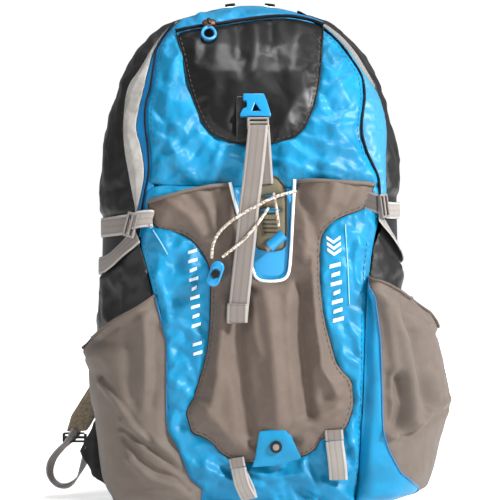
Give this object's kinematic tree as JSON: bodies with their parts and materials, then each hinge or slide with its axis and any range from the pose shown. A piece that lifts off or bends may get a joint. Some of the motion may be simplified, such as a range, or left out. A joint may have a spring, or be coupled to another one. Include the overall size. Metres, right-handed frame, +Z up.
{
  "type": "ski backpack",
  "caption": "Soft ski day pack with a fold-down lid held by a hook strap, stretch front pocket, side pockets, shock cord and curved shoulder straps.",
  "frame": {"origin": "centre of the flat base, on the surface the pack stands on", "axes": "+Z up toward the crest, front face toward -Y, shoulder straps at +Y, +X to the right seen from the front"},
  "size_m": [0.4398, 0.2677, 0.543],
  "materials": {
    "shell_blue": "woven nylon",
    "back_black": "spacer mesh",
    "side_black": "woven nylon",
    "stripe_silver": "woven nylon",
    "stripe_blue": "woven nylon",
    "stretch_taupe": "stretch woven",
    "piping_white": "satin",
    "lid_black": "coated fabric, gloss",
    "webbing_grey": "webbing",
    "patch_olive": "moulded patch",
    "zip_dark": "coil",
    "plastic_blue": "moulded",
    "plastic_grey": "moulded",
    "plastic_black": "moulded",
    "slider_bronze": "dark bronze",
    "foam_grey": "foam under mesh",
    "strap_mesh": "spacer mesh",
    "cord_speckle": "braided",
    "sheet_white": "sheet"
  },
  "bodies": {
    "pack": {"base_panel": "shell_blue", "back_panel": "back_black", "side_panel_left": "side_black", "side_panel_right": "side_black", "top_panel": "shell_blue", "gusset_left": "stripe_silver", "gusset_right": "stripe_blue", "front_panel": "shell_blue", "frame_sheet": "sheet_white", "hydration_sleeve": "side_black", "back_pad_left": "foam_grey", "back_pad_right": "foam_grey", "wing_left": "side_black", "wing_right": "side_black", "lower_webbing_left": "webbing_grey", "lower_webbing_right": "webbing_grey", "front_pocket": "stretch_taupe", "pocket_piping": "piping_white", "lash_patch": "patch_olive", "snap_tab": "shell_blue", "side_pocket_right": "stretch_taupe", "side_pocket_left": "stretch_taupe", "main_zip_left": "zip_dark", "main_zip_right": "zip_dark", "main_zip_crown": "zip_dark", "compression_strap_left": "webbing_grey", "compression_strap_right": "webbing_grey", "shock_cord_a": "cord_speckle", "shock_cord_b": "cord_speckle", "shock_cord_c": "cord_speckle", "cord_lock_left": "plastic_blue", "cord_lock_right": "plastic_blue"},
    "lid": {"lid_panel": "shell_blue", "lid_pocket": "lid_black", "lid_zip_track": "zip_dark", "hook_loop": "plastic_black", "lash_strap": "webbing_grey"},
    "lid_slider": {"lid_zip_slider": "slider_bronze"},
    "lid_pull": {"lid_zip_pull": "plastic_blue"},
    "hook": {"hook_buckle": "plastic_blue", "ladder_lock": "plastic_grey"},
    "tail": {"strap_tail": "webbing_grey"},
    "zip_slider_left": {"main_slider_left": "slider_bronze"},
    "zip_slider_right": {"main_slider_right": "slider_bronze"},
    "button_left": {"lock_button_left": "plastic_black"},
    "button_right": {"lock_button_right": "plastic_black"},
    "tilt_left": {"compression_buckle_left": "plastic_grey"},
    "tilt_right": {"compression_buckle_right": "plastic_grey"},
    "tool_left": {"tool_loop_left": "webbing_grey"},
    "tool_right": {"tool_loop_right": "webbing_grey"},
    "haul": {"haul_loop": "webbing_grey"},
    "strap_left": {"shoulder_strap_left": "strap_mesh", "strap_lock_left": "plastic_black"},
    "strap_right": {"shoulder_strap_right": "strap_mesh", "strap_lock_right": "plastic_black"},
    "chest_left": {"sternum_left": "plastic_black"},
    "chest_right": {"sternum_right": "plastic_black"},
    "waist_left": {"belt_left": "plastic_black"},
    "waist_right": {"belt_right": "plastic_black"}
  },
  "joints": [
    {"name": "lid_open", "type": "hinge", "parent": "pack", "child": "lid", "pos_m": [0, -0.1, 0.35], "axis": [1, 0, 0], "range_deg": [0, 80], "deforming": ["shock_cord_a", "shock_cord_c"]},
    {"name": "lid_zip_slide", "type": "hinge", "parent": "lid", "child": "lid_slider", "pos_m": [0.022, -0.18338, 0.34059], "axis": [0, -0.6897, 0.7241], "range_deg": [-25, 2]},
    {"name": "lid_pull_swing", "type": "hinge", "parent": "lid_slider", "child": "lid_pull", "pos_m": [-0.0427, -0.02339, 0.50911], "axis": [-1, 0, 0], "range_deg": [0, 110]},
    {"name": "hook_release", "type": "slide", "parent": "lid", "child": "hook", "axis": [0, 0.3162, 0.9487], "range_m": [0, 0.008]},
    {"name": "tail_hang", "type": "hinge", "parent": "hook", "child": "tail", "pos_m": [0.008, -0.0985, 0.397], "axis": [1, 0, 0], "range_deg": [-80, 0]},
    {"name": "zip_left_travel", "type": "hinge", "parent": "pack", "child": "zip_slider_left", "pos_m": [0, 0.0552, 0.365], "axis": [0, -1, 0], "range_deg": [0, 18]},
    {"name": "zip_right_travel", "type": "hinge", "parent": "pack", "child": "zip_slider_right", "pos_m": [0, 0.0552, 0.365], "axis": [0, 1, 0], "range_deg": [0, 18]},
    {"name": "button_left_press", "type": "slide", "parent": "pack", "child": "button_left", "axis": [0, 1, 0], "range_m": [0, 0.003], "stiffness_N_per_m": 150, "springref_m": -0.002},
    {"name": "button_right_press", "type": "slide", "parent": "pack", "child": "button_right", "axis": [0.76, 0, 0.65], "range_m": [0, 0.003], "stiffness_N_per_m": 150, "springref_m": -0.002},
    {"name": "buckle_left_tilt", "type": "hinge", "parent": "pack", "child": "tilt_left", "pos_m": [-0.12453, -0.08859, 0.3], "axis": [0, 0, -1], "range_deg": [0, 50]},
    {"name": "buckle_right_tilt", "type": "hinge", "parent": "pack", "child": "tilt_right", "pos_m": [0.13914, -0.07486, 0.319], "axis": [0, 0, 1], "range_deg": [0, 50]},
    {"name": "tool_left_swing", "type": "hinge", "parent": "pack", "child": "tool_left", "pos_m": [-0.011, -0.1035, 0.0575], "axis": [-1, 0, 0], "range_deg": [0, 70]},
    {"name": "tool_right_swing", "type": "hinge", "parent": "pack", "child": "tool_right", "pos_m": [0.084, -0.1035, 0.085], "axis": [-1, 0, 0], "range_deg": [0, 60]},
    {"name": "haul_swing", "type": "hinge", "parent": "pack", "child": "haul", "pos_m": [0, 0.092, 0.5055], "axis": [-1, 0, 0], "range_deg": [0, 70]},
    {"name": "strap_left_swing", "type": "hinge", "parent": "pack", "child": "strap_left", "pos_m": [-0.045, 0.097, 0.497], "axis": [1, 0, 0], "range_deg": [0, 25], "deforming": ["lower_webbing_left"]},
    {"name": "strap_right_swing", "type": "hinge", "parent": "pack", "child": "strap_right", "pos_m": [0.045, 0.097, 0.497], "axis": [1, 0, 0], "range_deg": [0, 25], "deforming": ["lower_webbing_right"]},
    {"name": "chest_left_slide", "type": "slide", "parent": "strap_left", "child": "chest_left", "axis": [0, 0, 1], "range_m": [-0.04, 0.025]},
    {"name": "chest_right_slide", "type": "slide", "parent": "strap_right", "child": "chest_right", "axis": [0, 0, 1], "range_m": [-0.04, 0.025]},
    {"name": "waist_left_swing", "type": "hinge", "parent": "pack", "child": "waist_left", "pos_m": [-0.14, 0.0963, 0.035], "axis": [0, 0, 1], "range_deg": [0, 95]},
    {"name": "waist_right_swing", "type": "hinge", "parent": "pack", "child": "waist_right", "pos_m": [0.14, 0.0963, 0.035], "axis": [0, 0, -1], "range_deg": [0, 95]}
  ],
  "couplings": [
    {"joint": "tail_hang", "follows": "lid_open", "ratio": -1}
  ]
}
